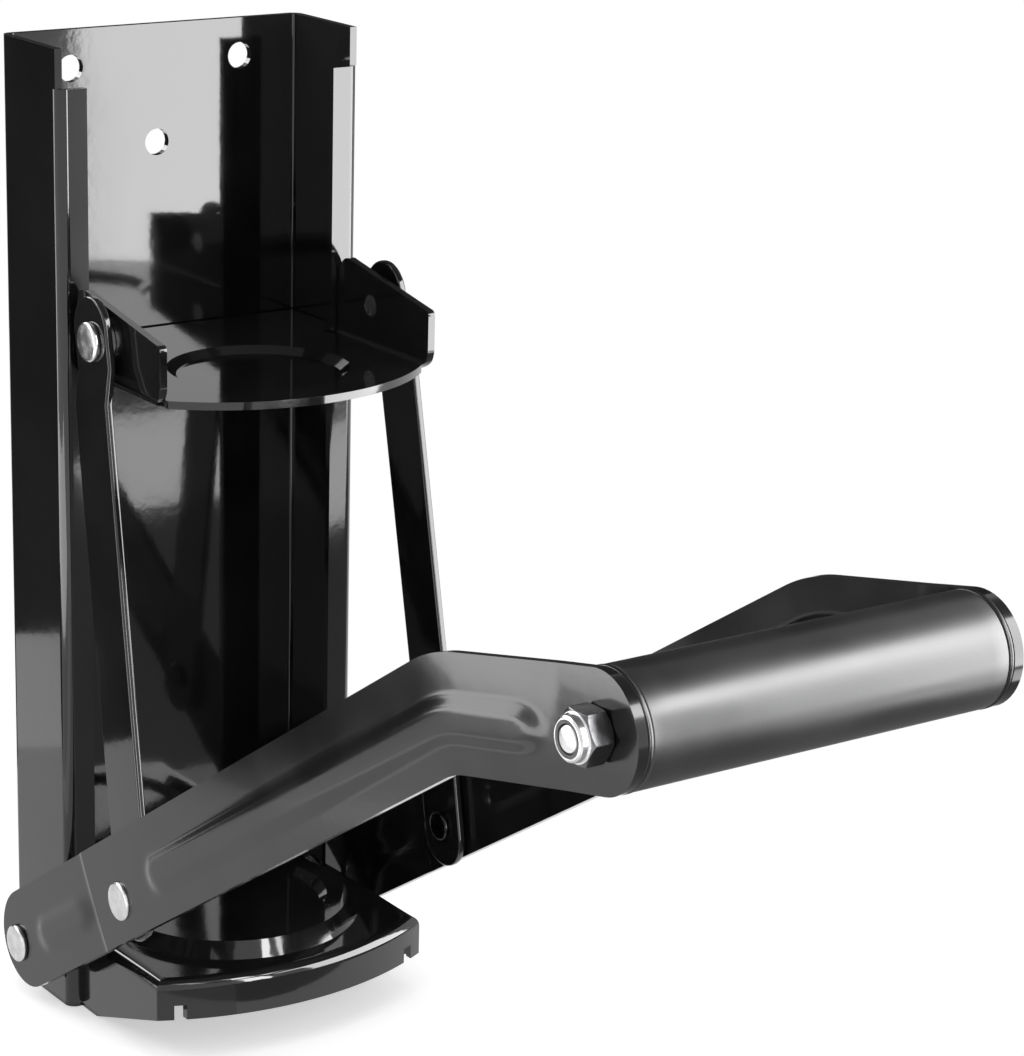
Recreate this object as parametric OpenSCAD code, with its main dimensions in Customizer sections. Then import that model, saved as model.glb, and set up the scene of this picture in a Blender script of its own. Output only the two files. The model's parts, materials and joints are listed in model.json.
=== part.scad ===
// Lever can crusher for a wall, lever held part way down.
// Origin: middle of the two upper screw holes on the wall plane. +Z up, front faces -Y.

/* [Back channel] */
// Width over the side walls
back_w = 88; // [84:0.5:96]
// Height of the back
back_h = 256; // [250:1:280]
// Depth from the wall to the front of the lips
back_d = 31; // [30:0.5:34]
// Sheet thickness of channel, base and crush plate
sheet = 2; // [1.8:0.1:2.2]
// Outer radius of every fold
fold_r = 3; // [2.8:0.1:3.4]
// Reach of each lip from the outside of the wall
lip_w = 8; // [7:0.5:9]
// Lips start this far below the top
lip_drop = 10; // [8:0.5:14]
// Set back of the plain wall edge above the lips
lip_back = 1.6; // [1.2:0.1:2]
// Distance between the two upper screw holes
screw_span = 50; // [40:1:56]
// Diameter of the screw holes
screw_d = 7; // [5:0.1:8]
// Upper screw holes below the top edge
screw_drop = 10; // [8:0.5:14]
// Third screw hole below the upper two
screw_step = 21; // [18:0.5:30]

/* [Base plate] */
// Side skirts inside the outer faces of the channel walls
skirt_inset = 3.6; // [3.2:0.1:4.6]
// Top of the base above the foot of the channel
base_top = 22.5; // [21:0.5:24]
// Front of the base past the foot of the dish
base_margin = 7; // [6:0.5:9]
// Bow of the front edge
base_bow = 10; // [8:0.5:12]
// Lower edge of the front skirt above the foot
skirt_low = 11.5; // [10:0.5:13]
// Length of the deep rear part of the side skirts
skirt_deep = 8; // [6:0.5:10]
// Gap between the base and each lip edge
neck_gap = 0.5; // [0.4:0.1:0.8]
// Foot of the raised dish to the lips at each side
dish_side = 1.5; // [1.2:0.1:3]
// Foot of the dish in front of the wall
dish_back = 5.5; // [4:0.25:7]
// Slope width of the dish wall
dish_slope = 3; // [2.5:0.25:3.5]
// Width of the raised rim of the dish
dish_rim = 5.5; // [5:0.25:8]
// Height of the dish rim
dish_h = 4; // [3:0.25:5]
// Depth of the dish floor below its rim
dish_sink = 2; // [1.5:0.25:2.5]
// Width of the relief notches in the front skirt
notch_w = 3; // [2:0.25:4]
// Height of the relief notches
notch_h = 4; // [3:0.25:5]
// Relief notches in from the corners
notch_in = 5.5; // [5:0.25:7]

/* [Crush plate] */
// Ears inside the outer faces of the channel walls
ear_inset = 4; // [3.8:0.1:4.8]
// Underside of the plate above the foot, lever at rest
plate_low = 173.8; // [172.8:0.2:175]
// Front of the plate past the foot of the dish
plate_margin = 12.5; // [11.5:0.5:13.5]
// Bow of the front edge of the plate
plate_bow = 15.3; // [15:0.1:15.8]
// Front edge of the ears behind the front of the plate
ear_set = 13; // [12.5:0.1:13.5]
// Gap between the ears and the front of the lips
ear_gap = 1; // [0.8:0.1:1.4]
// Rear top corner of the ears above the underside of the plate
ear_high = 22.7; // [22:0.1:24]
// Front top corner of the ears above the underside of the plate
ear_low = 16.2; // [15.5:0.1:17]
// Corner radius of the ears, rear top
ear_round = 4; // [3:0.25:5]
// Corner radius of the ears, front top
ear_nose = 1.5; // [1:0.25:2]
// Corner radius of the ears, front bottom
ear_toe = 6; // [5.5:0.25:6.5]
// Sliding gap between crush plate and channel
slide_gap = 0.6; // [0.5:0.05:0.8]
// Rear edge of the plate in front of the back
plate_rear = 1.2; // [1:0.1:2]
// Edge of the pressed round to the lips at each side
press_side = 12.5; // [12:0.25:14]
// Slope width of the pressed round
press_slope = 2.5; // [2:0.25:3]
// Depth of the pressed round
press_h = 1.8; // [1.4:0.1:1.9]
// Middle of the pressed round in front of the middle of the dish
press_fore = 14; // [13:0.25:15]

/* [Arms] */
// Thickness of the arms
arm_t = 2.5; // [2.3:0.1:2.7]
// Width of the arms
arm_w = 26.2; // [25.6:0.2:27]
// Lower pivot from the wall
pivot_y = 15.2; // [14.8:0.1:16]
// Lower pivot below the top of the base
pivot_drop = 7.8; // [7.6:0.1:8.2]
// Rest angle of the arms above level
arm_rise = 32.6; // [32:0.1:33]
// Angle of the grip end above level
grip_rise = 12.5; // [12:0.1:13]
// Middle of the round rear end past the pivot
arm_tail = 4.8; // [4.4:0.1:5.4]
// First crease from the lower pivot
crease_at = 50; // [49:0.5:51]
// Elbow from the lower pivot
elbow_at = 238; // [236:0.5:240]
// Grip axis from the elbow
grip_at = 53.5; // [52:0.5:55]
// Inner face of the arms from the channel wall at the pivot
pivot_gap = 4.3; // [4.2:0.05:4.6]
// Outward spread of the arms at the elbow
arm_out = 2.2; // [2:0.1:2.4]
// Inward return of the arms at the grip
arm_back = 1.85; // [1.7:0.05:2]
// Flat seat of the arm on either side of the grip axis
arm_seat = 13.5; // [13:0.25:15]
// Link joint past the first crease
link_past = 16.1; // [15.6:0.1:16.6]
// Link joint below the arm's middle line
link_off = 3.1; // [2.9:0.1:3.3]
// Height of the pressed ribs
rib_h = 0.9; // [0.7:0.1:1]
// Width of the pressed ribs
rib_w = 9.4; // [8.6:0.2:10]
// Ribs below the arm's middle line
rib_off = 1.1; // [0.8:0.1:2]
// Start of the long rib past the link joint
rib_gap = 17.9; // [17:0.1:20]
// End of the long rib before the grip axis
rib_end = 17.5; // [16:0.5:20]
// Start of the short rib
rib_short = 12.5; // [12:0.25:14]
// Wall of a pressed rib
rib_wall = 1.4; // [1.2:0.1:1.6]

/* [Links] */
// Thickness of the links
link_t = 2; // [1.8:0.1:2.1]
// Width of the links
link_w = 16.6; // [16:0.2:17.6]
// Link end past each pin
link_over = 11.3; // [11:0.1:12]
// Upper pin in front of the rear edge of the ear
pin_in = 14.8; // [14:0.1:16]
// Upper pin above the underside of the crush plate
pin_up = 12.2; // [11.5:0.1:12.6]
// Outward set of the link just below the ear
link_step = 1.9; // [1.6:0.1:2.2]
// Outward set of the flat lower end of the link
link_set = 3.9; // [3.6:0.1:4.1]
// Start of the set below the upper pin
set_from = 6.7; // [6.2:0.1:7.4]
// Length of the set
set_len = 8.7; // [8:0.1:10]
// Flat length above the lower pin
link_flat = 14; // [12:0.5:16]

/* [Rivets] */
// Shank diameter of the pivot rivets
pivot_d = 7; // [6:0.1:8]
// Shank diameter of the link rivets
pin_d = 5.5; // [5:0.1:6]
// Head diameter on the outside
head_d = 10; // [9.6:0.1:10.6]
// Head diameter on the inside
tail_d = 7.8; // [7.4:0.1:8.2]
// Height of the heads
head_h = 1.3; // [1.2:0.1:1.5]
// Edge height of the heads
head_rim = 0.9; // [0.7:0.1:1]
// Bevel of the heads
head_bevel = 0.5; // [0.3:0.05:0.7]
// Radial running clearance of every pin
run = 0.05; // [0.02:0.01:0.08]
// Side clearance at heads, spacers and nuts
side = 0.1; // [0.08:0.01:0.15]
// Outer diameter of the pivot spacers
spacer_d = 13; // [12:0.25:14]
// Thickness of the spacers between ears and links
link_gap = 2.1; // [1.9:0.1:2.3]
// Outer diameter of the spacers between ears and links
link_spacer_d = 11; // [10:0.25:12]

/* [Grip] */
// Inner diameter of the steel tube inside the grip
tube_in_d = 16; // [15:0.1:16.5]
// Wall of the steel tube
tube_wall = 1.5; // [1.2:0.1:2]
// Radial clearance between tube and sleeve
tube_fit = 0.05; // [0.02:0.01:0.1]
// Wall of the grip sleeve
sleeve_wall = 3.5; // [3:0.1:4]
// Overlap of the end caps past the sleeve
cap_rim = 0.1; // [0.05:0.05:0.3]
// Flange thickness of the end caps
cap_t = 1.3; // [1.2:0.1:1.6]
// Length of the end cap plugs
plug_l = 6; // [4:0.5:8]
// Wall of the end cap plugs
plug_wall = 2; // [1.5:0.1:2.5]
// Diameter of the long bolt
bolt_d = 6.3; // [6:0.1:6.5]
// Wall of the nylon ring
ring_wall = 0.95; // [0.85:0.05:1.05]
// Wall of the nut collar
collar_wall = 0.8; // [0.7:0.05:0.9]
// Flats of nut and bolt head outside the collar
hex_step = 0.65; // [0.5:0.05:0.85]
// Height of the hexagon of the nut
nut_h = 5.6; // [5.4:0.1:6]
// Height of the nut collar
collar_h = 2; // [1.8:0.1:2.2]
// Height of the bolt head
bolt_head_h = 4.2; // [4:0.1:4.6]

/* [Hidden] */
$fn = 96;
foot = back_h - screw_drop;
half = back_w / 2;
reach = back_h;
lip_x = half - lip_w;
base_w = back_w - 2 * skirt_inset;
dish_r = lip_x - dish_side;
dish_top_r = dish_r - dish_slope;
dish_in_r = dish_top_r - dish_rim;
dish_y = dish_back + dish_r;
base_front = dish_y + dish_r + base_margin;
ear_w = back_w - 2 * ear_inset;
plate_front = dish_y + dish_r + plate_margin;
ear_front = plate_front - ear_set;
ear_rear = back_d + ear_gap;
ear_top = plate_low + ear_high;
ear_nose_z = plate_low + ear_low;
press_r = lip_x - press_side;
press_y = dish_y + press_fore;
pivot_z = base_top - pivot_drop;
arm_in = half + pivot_gap;
link_at = crease_at + link_past;
rib_from = link_at + rib_gap;
rib_past = grip_at - rib_end;
top_pin_y = ear_rear + pin_in;
top_pin_z = plate_low + pin_up;
arc_r = (base_w * base_w / 4 + base_bow * base_bow) / (2 * base_bow);
arc_y = arc_r - base_front;
plate_r = (pow(ear_w / 2 - sheet, 2) + plate_bow * plate_bow) / (2 * plate_bow);
press_mid = plate_low + sheet;
bend = grip_rise - arm_rise;
slope = arm_out / (elbow_at - crease_at);
seat_s = elbow_at + (grip_at - arm_seat) * cos(bend);
grip_y = pivot_y + elbow_at * cos(arm_rise) + grip_at * cos(grip_rise);
grip_z = pivot_z + elbow_at * sin(arm_rise) + grip_at * sin(grip_rise);
arm_elbow = arm_in + arm_out;
arm_grip = arm_elbow - arm_back;
low_pin_y = pivot_y + link_at * cos(arm_rise) + link_off * sin(arm_rise);
low_pin_z = pivot_z + link_at * sin(arm_rise) - link_off * cos(arm_rise);
link_l = sqrt(pow(low_pin_y - top_pin_y, 2) + pow(low_pin_z - top_pin_z, 2));
link_lean = asin((low_pin_y - top_pin_y) / link_l);
link_in = ear_w / 2 + link_gap + side;
link_low = link_in + link_set;
arm_face = arm_in + arm_t + (link_at - crease_at) * slope;
cap_out = arm_grip - side;
tube_d = tube_in_d + 2 * tube_wall;
grip_in_d = tube_d + 2 * tube_fit;
grip_d = grip_in_d + 2 * sleeve_wall;
cap_d = grip_d + 2 * cap_rim;
ring_d = bolt_d + 2 * ring_wall;
collar_d = ring_d + 2 * collar_wall;
hex_af = collar_d + 2 * hex_step;
seat = arm_grip + arm_t + side;

// Heights are given from the foot of the channel
module at_foot() {
    translate([0, 0, -foot]) children();
}

// Side frame: X forward, Y up, Z out to the left
module left_side() {
    at_foot() rotate([90, 0, -90]) children();
}

module right_side() {
    mirror([1, 0, 0]) left_side() children();
}

module both_sides() {
    left_side() children();
    right_side() children();
}

// Quarter of a folded edge about the Z axis, in the +X +Y quarter, with two short legs into the sheets
module fold(length) {
    linear_extrude(length) {
        intersection() {
            difference() {
                circle(r = fold_r);
                circle(r = fold_r - sheet);
            }
            square(fold_r);
        }
        translate([-sheet, fold_r - sheet]) square(sheet);
        translate([fold_r - sheet, -sheet]) square(sheet);
    }
}

// Back channel: folded sheet with side walls, lips and screw holes
module channel_side() {
    translate([half - fold_r, -fold_r, 0]) fold(back_h);
    translate([half - sheet, -back_d + fold_r, 0])
        cube([sheet, back_d - 2 * fold_r, back_h]);
    translate([half - sheet, -back_d + lip_back, back_h - lip_drop])
        cube([sheet, fold_r, lip_drop]);
    translate([half - fold_r, -back_d + fold_r, 0]) mirror([0, 1, 0]) fold(back_h - lip_drop);
    translate([half - lip_w, -back_d, 0]) cube([lip_w - fold_r, sheet, back_h - lip_drop]);
}

module back_channel() {
    color([0.08, 0.08, 0.09]) at_foot() difference() {
        union() {
            translate([-half + fold_r, -sheet, 0]) cube([back_w - 2 * fold_r, sheet, back_h]);
            channel_side();
            mirror([1, 0, 0]) channel_side();
        }
        for (x = [-screw_span / 2, screw_span / 2])
            translate([x, reach / 2, foot]) rotate([90, 0, 0]) cylinder(d = screw_d, h = reach);
        translate([0, reach / 2, foot - screw_step])
            rotate([90, 0, 0]) cylinder(d = screw_d, h = reach);
        translate([-reach / 2, -pivot_y, pivot_z]) rotate([0, 90, 0])
            cylinder(d = pivot_d + 2 * run, h = reach);
    }
}

// Base plate: tray with a bowed front skirt, side skirts and a raised dish
module tray(inset, rear) {
    r = fold_r - inset;
    side_x = base_w / 2 - inset;
    top = base_top - inset;
    difference() {
        intersection() {
            translate([-side_x, -reach, -inset]) cube([2 * side_x, reach - rear, top + inset]);
            translate([0, arc_y, -inset]) cylinder(r = arc_r - inset, h = top + inset);
        }
        for (k = [-1, 1]) difference() {
            translate([k * side_x - r, -reach, top - r]) cube([2 * r, reach, 2 * r]);
            translate([k * (side_x - r), reach, top - r])
                rotate([90, 0, 0]) cylinder(r = r, h = 3 * reach);
        }
        translate([0, arc_y, 0]) rotate_extrude() difference() {
            translate([arc_r - inset - r, top - r]) square([2 * r, 2 * r]);
            translate([arc_r - inset - r, top - r]) circle(r = r);
        }
    }
}

module base_plate() {
    color([0.07, 0.07, 0.08]) at_foot() {
        difference() {
            tray(0, back_d);
            tray(sheet, back_d - sheet);
            rotate([90, 0, -90]) translate([0, 0, -reach / 2]) linear_extrude(reach)
                polygon([[0, -sheet], [base_front + sheet, -sheet], [base_front + sheet, skirt_low],
                         [base_front - base_bow, skirt_low], [back_d + skirt_deep, 0], [0, 0]]);
            for (k = [-1, 1]) translate([k * (base_w / 2 - notch_in) - notch_w / 2, -reach, 0])
                cube([notch_w, reach - base_front + base_bow + fold_r, skirt_low + notch_h]);
            translate([0, -dish_y, 0]) cylinder(r = dish_r - sheet / 2, h = reach);
        }
        difference() {
            translate([-lip_x + neck_gap, -back_d - sheet, base_top - sheet])
                cube([2 * lip_x - 2 * neck_gap, back_d, sheet]);
            translate([0, -dish_y, 0]) cylinder(r = dish_r - sheet / 2, h = reach);
        }
        translate([0, -dish_y, base_top]) rotate_extrude() polygon([
            [dish_r, 0], [dish_top_r, dish_h], [dish_in_r, dish_h],
            [dish_in_r - dish_sink, dish_h - dish_sink], [0, dish_h - dish_sink],
            [0, dish_h - dish_sink - sheet], [dish_in_r - sheet / 2, dish_h - dish_sink - sheet],
            [dish_in_r + sheet / 2, dish_h - sheet], [dish_top_r - sheet, dish_h - sheet],
            [dish_top_r - sheet / 2, -sheet], [dish_r, -sheet]]);
    }
}

// A rivet along Z with a flat-topped head; foot of the head at zero
module head(d) {
    rotate_extrude() polygon([
        [0, 0], [d / 2, 0], [d / 2, head_rim], [d / 2 - head_bevel, head_h], [0, head_h]]);
}

module rivet(d, outside, inside, inner_d) {
    translate([0, 0, inside - head_rim]) cylinder(d = d, h = outside - inside + 2 * head_rim);
    translate([0, 0, outside]) head(head_d);
    translate([0, 0, inside]) mirror([0, 0, 1]) head(inner_d);
}

// Lower pivot: steel rivets through the side walls, fixed in the channel
module pivot_rivets() {
    color([0.8, 0.8, 0.82]) both_sides() translate([pivot_y, pivot_z, 0])
        rivet(pivot_d, arm_in + arm_t + side, half - sheet, head_d);
}

module pivot_spacers() {
    color([0.7, 0.7, 0.72]) both_sides() translate([pivot_y, pivot_z, half]) difference() {
        cylinder(d = spacer_d, h = arm_in - half - side);
        translate([0, 0, -reach]) cylinder(d = pivot_d + 2 * run, h = 2 * reach);
    }
}

// Crush plate: folded sheet with two upright ears and rear wings behind the lips
module ear_shape() {
    difference() {
        union() {
            polygon([[ear_rear, plate_low], [ear_front - ear_toe, plate_low],
                     [ear_front, plate_low + ear_toe], [ear_front, ear_nose_z - ear_nose],
                     [ear_front - ear_nose, ear_nose_z], [ear_rear + ear_round, ear_top],
                     [ear_rear, ear_top - ear_round]]);
            translate([ear_front - ear_toe, plate_low + ear_toe]) circle(r = ear_toe);
            translate([ear_rear + ear_round, ear_top - ear_round]) circle(r = ear_round);
            translate([ear_front - ear_nose, ear_nose_z - ear_nose]) circle(r = ear_nose);
        }
        translate([top_pin_y, top_pin_z]) circle(d = pin_d + 2 * run);
    }
}

module ear() {
    intersection() {
        linear_extrude(reach) ear_shape();
        union() {
            translate([0, plate_low + fold_r, ear_w / 2 - sheet]) cube([reach, reach, sheet]);
            translate([0, plate_low + fold_r, ear_w / 2 - fold_r])
                rotate([0, 90, 0]) mirror([1, 0, 0]) rotate([0, 0, -90]) fold(reach);
        }
    }
}

module crush_plate() {
    color([0.09, 0.09, 0.1]) {
        both_sides() ear();
        at_foot() difference() {
            union() {
                intersection() {
                    translate([-ear_w / 2 + fold_r, -reach, plate_low])
                        cube([ear_w - 2 * fold_r, reach - ear_rear, sheet]);
                    translate([0, plate_r - plate_front, plate_low]) cylinder(r = plate_r, h = sheet);
                }
                translate([-lip_x + slide_gap, -ear_rear - sheet, plate_low])
                    cube([2 * lip_x - 2 * slide_gap, ear_rear - plate_rear, sheet]);
                translate([-half + sheet + slide_gap, -back_d + sheet + slide_gap, plate_low])
                    cube([back_w - 2 * sheet - 2 * slide_gap,
                          back_d - 2 * sheet - slide_gap - plate_rear, sheet]);
            }
            translate([0, -press_y, 0]) cylinder(r = press_r, h = reach);
        }
        at_foot() translate([0, -press_y, press_mid]) rotate_extrude() polygon([
            [press_r + sheet, 0], [press_r, 0], [press_r - press_slope, -press_h], [0, -press_h],
            [0, -press_h - sheet], [press_r - press_slope, -press_h - sheet], [press_r, -sheet],
            [press_r + sheet, -sheet]]);
    }
}

module slider_rivets() {
    color([0.8, 0.8, 0.82]) both_sides() translate([top_pin_y, top_pin_z, 0])
        rivet(pin_d, link_in + link_t + side, ear_w / 2 - sheet, tail_d);
}

module link_spacers() {
    color([0.75, 0.75, 0.77]) both_sides() translate([top_pin_y, top_pin_z, ear_w / 2]) difference() {
        cylinder(d = link_spacer_d, h = link_gap);
        translate([0, 0, -reach]) cylinder(d = pin_d + 2 * run, h = 2 * reach);
    }
}

// Links: flat bars set outward below the ears
module link() {
    translate([top_pin_y, top_pin_z, 0]) rotate([0, 0, link_lean]) difference() {
        intersection() {
            linear_extrude(reach) {
                translate([0, link_over - link_w / 2]) circle(d = link_w);
                translate([0, -link_l - link_over + link_w / 2]) circle(d = link_w);
                translate([-link_w / 2, -link_l - link_over + link_w / 2])
                    square([link_w, link_l + 2 * link_over - link_w]);
            }
            translate([-reach / 2, 0, 0]) rotate([90, 0, 90]) linear_extrude(reach) polygon([
                [reach, link_in], [-set_from, link_in], [-set_from - set_len, link_in + link_step],
                [-link_l + link_flat, link_low], [-reach, link_low], [-reach, link_low + link_t],
                [-link_l + link_flat, link_low + link_t],
                [-set_from - set_len, link_in + link_step + link_t],
                [-set_from, link_in + link_t], [reach, link_in + link_t]]);
        }
        for (y = [0, -link_l]) translate([0, y, 0]) cylinder(d = pin_d + 2 * run, h = reach);
    }
}

module left_link() {
    color([0.1, 0.1, 0.11]) left_side() link();
}

module right_link() {
    color([0.1, 0.1, 0.11]) right_side() link();
}

// Riveted-over ends of the lower link joint, held in the links
module link_rivet_tails() {
    color([0.78, 0.78, 0.8]) both_sides() translate([low_pin_y, low_pin_z, link_low]) {
        translate([0, 0, -head_rim]) cylinder(d = pin_d, h = link_t + head_rim);
        mirror([0, 0, 1]) head(tail_d);
    }
}

// Arms: one outline cut from a strip that spreads to the elbow and returns at the grip
module arm_strip(low, high) {
    translate([0, reach / 2, 0]) rotate([90, 0, 0]) linear_extrude(reach) polygon([
        [-reach, arm_in + low], [crease_at, arm_in + low], [elbow_at, arm_elbow + low],
        [seat_s, arm_grip + low], [elbow_at + reach, arm_grip + low],
        [elbow_at + reach, arm_grip + high], [seat_s, arm_grip + high],
        [elbow_at, arm_elbow + high], [crease_at, arm_in + high], [-reach, arm_in + high]]);
}

module bar(from, to, width) {
    translate([from, 0]) circle(d = width);
    translate([from, -width / 2]) square([to - from, width]);
    translate([to, 0]) circle(d = width);
}

module arm_outline() {
    bar(arm_tail, elbow_at, arm_w);
    translate([elbow_at, 0]) rotate(bend) bar(0, grip_at, arm_w);
}

module rib_outline(width) {
    translate([0, -rib_off]) {
        bar(rib_from + rib_w / 2, elbow_at, width);
        translate([elbow_at, 0]) rotate(bend) bar(0, rib_past - rib_w / 2, width);
        bar(rib_short + rib_w / 2, crease_at - rib_w / 2, width);
    }
}

module arm() {
    translate([pivot_y, pivot_z, 0]) rotate([0, 0, arm_rise]) difference() {
        union() {
            intersection() {
                linear_extrude(reach) arm_outline();
                arm_strip(0, arm_t);
            }
            intersection() {
                linear_extrude(reach) rib_outline(rib_w);
                arm_strip(arm_t / 2, arm_t + rib_h);
            }
        }
        intersection() {
            linear_extrude(reach) rib_outline(rib_w - 2 * rib_wall);
            arm_strip(-arm_t, rib_h);
        }
        cylinder(d = pivot_d + 2 * run, h = reach);
        translate([link_at, -link_off, 0]) cylinder(d = pin_d + 2 * run, h = reach);
        translate([elbow_at, 0, 0]) rotate([0, 0, bend]) translate([grip_at, 0, 0])
            cylinder(d = bolt_d + 2 * run, h = reach);
    }
}

module left_arm() {
    color([0.12, 0.12, 0.13]) left_side() arm();
}

module right_arm() {
    color([0.12, 0.12, 0.13]) right_side() arm();
}

// Heads of the lower link joint, held in the arms
module arm_rivets() {
    color([0.8, 0.8, 0.82]) both_sides() translate([low_pin_y, low_pin_z, 0]) {
        translate([0, 0, arm_face - arm_t + side]) cylinder(d = pin_d, h = arm_t + head_rim);
        translate([0, 0, arm_face + side]) head(head_d);
    }
}

// Grip: sleeve on a steel tube between two end caps, held by a long bolt and lock nut
module on_grip() {
    at_foot() translate([0, -grip_y, grip_z]) rotate([0, 90, 0]) children();
}

module pipe(outer, inner, length) {
    difference() {
        translate([0, 0, -length / 2]) cylinder(d = outer, h = length);
        translate([0, 0, -length]) cylinder(d = inner, h = 2 * length);
    }
}

module grip_sleeve() {
    color([0.13, 0.13, 0.13]) on_grip() pipe(grip_d, grip_in_d, 2 * (cap_out - cap_t));
}

module grip_tube() {
    color([0.6, 0.6, 0.62]) on_grip() pipe(tube_d, tube_in_d, 2 * (cap_out - cap_t));
}

module end_cap() {
    on_grip() difference() {
        union() {
            translate([0, 0, cap_out - cap_t]) cylinder(d = cap_d, h = cap_t);
            translate([0, 0, cap_out - cap_t - plug_l])
                cylinder(d = tube_in_d - 2 * run, h = plug_l + cap_t);
        }
        translate([0, 0, cap_out - cap_t - 2 * plug_l])
            cylinder(d = tube_in_d - 2 * plug_wall, h = 2 * plug_l);
        cylinder(d = bolt_d + 2 * run, h = reach);
    }
}

module right_end_cap() {
    color([0.05, 0.05, 0.05]) end_cap();
}

module left_end_cap() {
    color([0.05, 0.05, 0.05]) mirror([1, 0, 0]) end_cap();
}

module hexagon(height) {
    cylinder(d = hex_af / cos(30), h = height, $fn = 6);
}

module grip_bolt() {
    color([0.8, 0.8, 0.82]) on_grip() {
        translate([0, 0, -seat - nut_h - collar_h + side])
            cylinder(d = bolt_d, h = 2 * seat + nut_h + collar_h);
        translate([0, 0, seat]) hexagon(bolt_head_h);
    }
}

module grip_nut() {
    color([0.8, 0.8, 0.82]) on_grip() mirror([0, 0, 1]) translate([0, 0, seat]) difference() {
        union() {
            hexagon(nut_h);
            cylinder(d = collar_d, h = nut_h + collar_h);
        }
        translate([0, 0, -nut_h]) cylinder(d = bolt_d + 2 * run, h = 3 * nut_h);
        translate([0, 0, nut_h]) cylinder(d = ring_d + 2 * run, h = nut_h);
    }
}

module nut_ring() {
    color([0.85, 0.85, 0.83]) on_grip() mirror([0, 0, 1]) translate([0, 0, seat + nut_h])
        difference() {
            cylinder(d = ring_d, h = collar_h - side);
            translate([0, 0, -nut_h]) cylinder(d = bolt_d + 2 * run, h = 3 * nut_h);
        }
}

back_channel();
base_plate();
pivot_rivets();
pivot_spacers();
crush_plate();
slider_rivets();
link_spacers();
left_link();
right_link();
link_rivet_tails();
left_arm();
right_arm();
arm_rivets();
grip_sleeve();
grip_tube();
left_end_cap();
right_end_cap();
grip_bolt();
grip_nut();
nut_ring();
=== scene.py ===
# Lever can crusher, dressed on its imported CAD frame. Metres, +Z up, front faces -Y, wall at +Y.
import json
import math

import bmesh
import bpy
from mathutils import Matrix, Vector


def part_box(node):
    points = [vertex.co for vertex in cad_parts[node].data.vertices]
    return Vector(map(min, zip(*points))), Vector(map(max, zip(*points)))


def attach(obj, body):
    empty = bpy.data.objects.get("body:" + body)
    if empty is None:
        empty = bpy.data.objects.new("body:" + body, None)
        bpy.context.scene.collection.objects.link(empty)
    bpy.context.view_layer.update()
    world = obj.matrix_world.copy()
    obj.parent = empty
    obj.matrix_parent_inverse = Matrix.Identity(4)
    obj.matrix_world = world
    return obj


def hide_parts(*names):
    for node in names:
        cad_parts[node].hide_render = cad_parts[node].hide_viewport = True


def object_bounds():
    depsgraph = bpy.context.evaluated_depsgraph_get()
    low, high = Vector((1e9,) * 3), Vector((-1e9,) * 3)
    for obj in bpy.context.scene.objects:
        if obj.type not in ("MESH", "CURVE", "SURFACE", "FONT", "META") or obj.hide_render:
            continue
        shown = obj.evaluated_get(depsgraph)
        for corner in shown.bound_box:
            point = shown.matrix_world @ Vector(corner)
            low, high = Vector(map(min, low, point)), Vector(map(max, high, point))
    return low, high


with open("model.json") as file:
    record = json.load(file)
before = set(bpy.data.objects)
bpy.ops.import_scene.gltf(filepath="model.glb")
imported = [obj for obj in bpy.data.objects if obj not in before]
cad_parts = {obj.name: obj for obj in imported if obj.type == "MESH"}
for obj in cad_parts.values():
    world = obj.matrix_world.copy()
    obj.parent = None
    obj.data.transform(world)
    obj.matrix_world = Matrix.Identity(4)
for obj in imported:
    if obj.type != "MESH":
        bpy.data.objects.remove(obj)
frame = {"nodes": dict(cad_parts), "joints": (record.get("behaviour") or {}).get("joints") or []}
nodes = frame["nodes"]
cad_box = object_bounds()
MM = 0.001
LEFT, RIGHT = -1, 1


# Back channel. The real piece is one steel sheet of 2 mm, punched, folded to a deep channel with
# two front lips, and coated in thick gloss black. Two screws hold it to the wall through its top.

fold_edge = 0.9 * MM
weld_gap = 0.002 * MM
flat_angle = math.radians(0.6)
fold_angle = math.radians(28)
edge_steps = 3
sheet_weight = 90
peel_wave = 3 * MM
peel_height = 0.011 * MM
coat_black = (0.0045, 0.0045, 0.005, 1)
coat_dusty = (0.009, 0.009, 0.0095, 1)
coat_index = 1.5
coat_haze = 0.03
haze_spread = 0.04


def shader_group(name, inputs, outputs):
    group = bpy.data.node_groups.new(name, "ShaderNodeTree")
    for label, value in inputs:
        kind = "NodeSocketColor" if isinstance(value, tuple) else "NodeSocketFloat"
        socket = group.interface.new_socket(label, in_out="INPUT", socket_type=kind)
        socket.default_value = value
    for label, kind in outputs:
        group.interface.new_socket(label, in_out="OUTPUT", socket_type=kind)
    return group


def add_node(tree, kind, **settings):
    made = tree.nodes.new(kind)
    for key, value in settings.items():
        setattr(made, key, value)
    return made


def divide(tree, top, socket):
    made = add_node(tree, "ShaderNodeMath", operation="DIVIDE")
    made.inputs[0].default_value = top
    tree.links.new(socket, made.inputs[1])
    return made.outputs[0]


def grain_noise(tree, position, scale, detail):
    made = add_node(tree, "ShaderNodeTexNoise")
    made.inputs["Detail"].default_value = detail
    tree.links.new(position, made.inputs["Vector"])
    tree.links.new(scale, made.inputs["Scale"])
    return made.outputs["Fac"]


def blend_colour(tree, mask, first, second):
    made = add_node(tree, "ShaderNodeMix", data_type="RGBA")
    tree.links.new(mask, made.inputs["Factor"])
    for socket, value in ((made.inputs[6], first), (made.inputs[7], second)):
        if isinstance(value, tuple):
            socket.default_value = value
        else:
            tree.links.new(value, socket)
    return made.outputs[2]


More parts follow.
